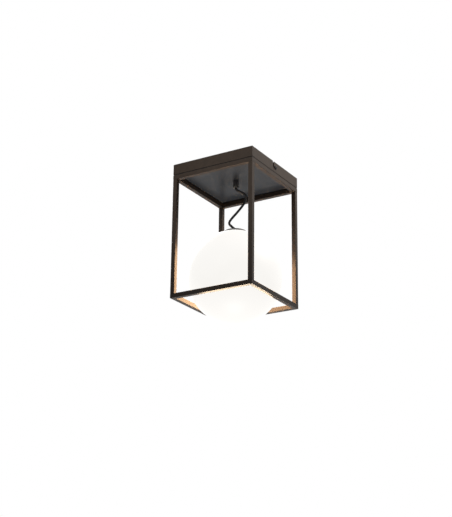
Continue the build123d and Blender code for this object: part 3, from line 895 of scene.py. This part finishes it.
class PORCHLIGHT_OT_screws(Operator):
    """Side screws of the canopy, long frame screws, earth screw and terminal screws"""

    bl_idname = "porch_light.screws"
    bl_label = "Screws"

    def execute(self, context):
        size = sizes()
        half = size.frame_width / 2
        head_height = hook_screw_high.x - half
        head, shank = size.hook_screw_head, size.hook_screw_shank
        screw = screw_blank("hook_screw", head, head_height, shank, shank_length=0.0078, crown=0.5)
        cut_recess(screw, head_height, reach=0.0026, width=0.0010, depth=0.0018, arms=2)
        finish_mesh(screw)
        level = Matrix.Translation((0.0, 0.0, -size.hook_depth))
        moves = []
        for side in (1, -1):
            turn = Matrix.Rotation(side * pi / 2, 4, "Y")
            moves.append(level @ Matrix.Translation((side * half, 0.0, 0.0)) @ turn)
        place_copies(screw, moves, "frame", "black_steel", "canopy_screws")
        self.frame_screws(size)
        self.earth_screw(size)
        self.terminal_screws(size)
        return {"FINISHED"}

    def frame_screws(self, size):
        head_height = frame_screw_high.z - plate_high.z
        shank_length = plate_high.z - frame_screw_low.z
        head, shank = size.small_screw_head, size.small_screw_shank
        screw = screw_blank("frame_screw", head, head_height, shank, shank_length, crown=0.5)
        cut_recess(screw, head_height, reach=0.0020, width=0.0008, depth=0.0015, arms=2)
        finish_mesh(screw)
        reach = frame_screw_high.x - size.small_screw_head / 2
        corners = [(reach, reach), (reach, -reach), (-reach, reach), (-reach, -reach)]
        moves = [Matrix.Translation((*corner, plate_high.z)) for corner in corners]
        place_copies(screw, moves, "frame", "zinc_steel", "frame_screws")

    def earth_screw(self, size):
        strap = 0.002
        seat = earth_screw_high.z - strap
        head_height = seat - earth_screw_low.z
        head, shank = size.small_screw_head, size.small_screw_shank
        shank_length = earth_screw_high.z - seat
        screw = screw_blank("earth_terminal_screw", head, head_height, shank, shank_length, crown=0.4)
        cut_recess(screw, head_height, reach=0.0020, width=0.0008, depth=0.0013, arms=2)
        finish_mesh(screw)
        place = (earth_screw_high.x - size.small_screw_head / 2, 0.0, seat)
        turned = Matrix.Translation(place) @ Matrix.Rotation(pi, 4, "X")
        place_copies(screw, [turned], "frame", "brass", "earth_screw")

    def terminal_screws(self, size):
        height = terminal_high.z - terminal_low.z
        radius = size.terminal_screw / 2
        edge = 0.0002
        twist = radians(35)
        rim = [(radius, 0.0), (radius, height - edge), (radius - edge, height)]
        screw = spin_outline("terminal_screw", [(0.0, 0.0), *rim, (0.0, height)], 32)
        cut_recess(screw, height, radius * 1.2, width=0.0007, depth=0.0010, arms=1)
        finish_mesh(screw)
        rows = (terminal_low.y + radius, terminal_high.y - radius)
        moves = []
        for across in (terminal_low.x + radius, 0.0, terminal_high.x - radius):
            for row in rows:
                turn = Matrix.Rotation(twist * (len(moves) + 1), 4, "Z")
                moves.append(Matrix.Translation((across, row, terminal_low.z)) @ turn)
        place_copies(screw, moves, "frame", "brass", "terminal_screws")


class PORCHLIGHT_OT_globe(Operator):
    """Opal globe cut flat at the top, lit by its own finish"""

    bl_idname = "porch_light.globe"
    bl_label = "Globe"

    def execute(self, context):
        size = sizes()
        radius = size.globe_diameter / 2
        centre = globe_low.z + radius
        rim = globe_high.z
        rim_radius = sqrt(radius**2 - (rim - centre) ** 2)
        globe = begin(
            bpy.ops.mesh.primitive_uv_sphere_add, "opal_globe",
            segments=128, ring_count=80, radius=radius, location=(0, 0, centre),
        )
        bpy.ops.mesh.select_all(action="SELECT")
        bpy.ops.mesh.bisect(plane_co=(0, 0, rim), plane_no=(0, 0, 1), clear_outer=True)
        choose(globe, "edges", lambda edge: edge.is_boundary)
        bpy.ops.mesh.extrude_region_move()
        share = size.globe_hole / rim_radius
        bpy.ops.transform.resize(value=(share, share, 1.0), center_override=(0, 0, rim))
        tidy_mesh()
        bpy.ops.object.mode_set(mode="OBJECT")
        wall = globe.modifiers.new("wall", "SOLIDIFY")
        wall.thickness = size.globe_wall
        wall.offset = -1.0
        wall.use_even_offset = True
        bpy.ops.object.modifier_apply(modifier=wall.name)
        bpy.ops.object.mode_set(mode="EDIT")

        def on_rim(vert):
            return abs(vert.co.z - rim) < touch and abs(vert.co.xy.length - rim_radius) < 10 * touch

        round_edges(globe, lambda edge: all(map(on_rim, edge.verts)), width=0.0007, segments=3)
        close_piece(globe, "globe", "opal", "globe", flat=False)
        globe.visible_shadow = False
        return {"FINISHED"}


class PORCHLIGHT_OT_canopy(Operator):
    """Canopy: a folded sheet box with an in-turned lip and two L-shaped hook slots"""

    bl_idname = "porch_light.canopy"
    bl_label = "Canopy"

    def execute(self, context):
        size = sizes()
        half = size.frame_width / 2
        depth = size.canopy_height
        canopy = block("canopy_box", (-half, -half, -depth), (half, half, 0.0))
        choose(canopy, "faces", lambda face: face.normal.z > 0.9)
        bpy.ops.mesh.inset(thickness=size.sheet)
        bpy.ops.mesh.extrude_region_move(TRANSFORM_OT_translate={"value": (0, 0, size.sheet - depth)})
        bpy.ops.mesh.inset(thickness=half - size.sheet - size.lip_half)
        bpy.ops.mesh.delete(type="FACE")
        choose(canopy, "faces", lambda face: face.normal.z < -0.9)
        bpy.ops.mesh.inset(thickness=half - size.lip_half)
        bpy.ops.mesh.delete(type="FACE")
        choose(canopy, "edges", lambda edge: edge.is_boundary)
        bpy.ops.mesh.bridge_edge_loops()
        tidy_mesh()

        def is_fold(edge):
            outside = all(max(abs(vert.co.x), abs(vert.co.y)) > half - touch for vert in edge.verts)
            corner = all(min(abs(vert.co.x), abs(vert.co.y)) > half - touch for vert in edge.verts)
            lowest = all(vert.co.z < touch - depth for vert in edge.verts)
            return outside and (lowest or span(edge, 2) > depth / 2 and corner)

        def is_rim(edge):
            sides = {round(face.normal.z) for face in edge.link_faces}
            return all(vert.co.z > -touch for vert in edge.verts) and len(sides) > 1

        round_edges(canopy, is_fold, size.fold_edge, segments=3)
        round_edges(canopy, is_rim, width=0.0002, segments=2)
        for number, (low, high, bend) in enumerate(self.slot_cutters(size, half)):
            cutter = block(f"hook_slot_{number}", low, high)
            if bend:
                round_edges(cutter, lambda edge: span(edge, 0) > half, bend, segments=8)
                tidy_mesh()
            cut_away(canopy, cutter)
        close_piece(canopy, "frame", "bronze_paint", "canopy")
        return {"FINISHED"}

    def slot_cutters(self, size, half):
        reach = half + size.sheet
        wide = size.hook_slot / 2
        bottom = -size.hook_depth
        yield (-reach, -size.hook_shift - wide, bottom), (reach, -size.hook_shift + wide, size.sheet), None
        yield (-reach, -size.hook_shift - wide, bottom - wide), (reach, wide, bottom + wide), wide * 0.999


class PORCHLIGHT_OT_rings(Operator):
    """Top and bottom ring of the frame: four mitred tubes each"""

    bl_idname = "porch_light.rings"
    bl_label = "Rings"

    def execute(self, context):
        for kind, top in (("top_rail", top_rail_high.z), ("bottom_rail", seat_high.z)):
            rail = self.mitred_rail(f"{kind}_tube_front", top)
            place_turned(rail, kind, ("front", "right", "back", "left"))
        return {"FINISHED"}

    def mitred_rail(self, name, top):
        size = sizes()
        half = size.frame_width / 2
        rail = block(name, (-half, -half, top - size.tube_side), (half, size.tube_side - half, top))
        for side in (1, -1):
            bpy.ops.mesh.select_all(action="SELECT")
            bpy.ops.mesh.bisect(plane_co=(0, 0, 0), plane_no=(side, 1, 0), clear_outer=True, use_fill=True)
        round_edges(rail, lambda edge: span(edge, 0) > half, size.tube_edge, segments=3)

        def on_mitre(vert):
            return abs(abs(vert.co.x) - abs(vert.co.y)) < touch

        round_edges(rail, lambda edge: all(map(on_mitre, edge.verts)), size.joint_line, segments=1)
        finish_mesh(rail)
        return rail


class PORCHLIGHT_OT_posts(Operator):
    """Four corner posts of square tube"""

    bl_idname = "porch_light.posts"
    bl_label = "Posts"

    def execute(self, context):
        size = sizes()
        post = block("post_tube_front_right", post_low, post_high)
        round_edges(post, lambda edge: span(edge, 2) > size.tube_side, size.tube_edge, segments=3)
        round_edges(post, lambda edge: span(edge, 2) <= size.tube_side, size.joint_line, segments=1)
        finish_mesh(post)
        place_turned(post, "post", ("front_right", "back_right", "back_left", "front_left"))
        return {"FINISHED"}


class PORCHLIGHT_OT_finishes(Operator):
    """Finishes of the CAD pieces that stay"""

    bl_idname = "porch_light.finishes"
    bl_label = "Finishes"

    def execute(self, context):
        for part in frame["record"]["subparts"]:
            node = frame["nodes"][part["node"]]
            node.data.materials.clear()
            node.data.materials.append(finish_of[part["material_slot"]])
        return {"FINISHED"}


class PORCHLIGHT_PT_panel(Panel):
    """Lists the steps in the order in which they run"""

    bl_idname = "PORCHLIGHT_PT_panel"
    bl_label = "Porch Light"
    bl_space_type = "VIEW_3D"
    bl_region_type = "UI"
    bl_category = "Porch Light"

    def draw(self, context):
        for step in steps:
            self.layout.operator(step.bl_idname)
        for group in ("porch_light_sizes", "porch_light_finishes", "porch_light_stage"):
            held = getattr(context.scene, group)
            for key in held.__annotations__:
                self.layout.prop(held, key)


groups = {
    "porch_light_sizes": PorchLightSizes,
    "porch_light_finishes": PorchLightFinishes,
    "porch_light_stage": PorchLightStage,
}
steps = (
    PORCHLIGHT_OT_stage,
    PORCHLIGHT_OT_flex,
    PORCHLIGHT_OT_wiring,
    PORCHLIGHT_OT_grip,
    PORCHLIGHT_OT_screws,
    PORCHLIGHT_OT_globe,
    PORCHLIGHT_OT_canopy,
    PORCHLIGHT_OT_rings,
    PORCHLIGHT_OT_posts,
    PORCHLIGHT_OT_finishes,
)


def register():
    """Register the groups, steps and panel."""
    for name, group in groups.items():
        bpy.utils.register_class(group)
        setattr(bpy.types.Scene, name, PointerProperty(type=group))
    for step in steps:
        bpy.utils.register_class(step)
    bpy.utils.register_class(PORCHLIGHT_PT_panel)


def unregister():
    """Take all of it out again."""
    bpy.utils.unregister_class(PORCHLIGHT_PT_panel)
    for step in reversed(steps):
        bpy.utils.unregister_class(step)
    for name, group in groups.items():
        delattr(bpy.types.Scene, name)
        bpy.utils.unregister_class(group)


def main():
    """Run the steps in order."""
    register()
    prepare_finishes()
    bpy.ops.porch_light.stage()
    bpy.ops.porch_light.flex()
    bpy.ops.porch_light.wiring()
    bpy.ops.porch_light.grip()
    bpy.ops.porch_light.screws()
    bpy.ops.porch_light.globe()
    bpy.ops.porch_light.canopy()
    bpy.ops.porch_light.rings()
    bpy.ops.porch_light.posts()
    bpy.ops.porch_light.finishes()


if __name__ == "__main__":
    main()
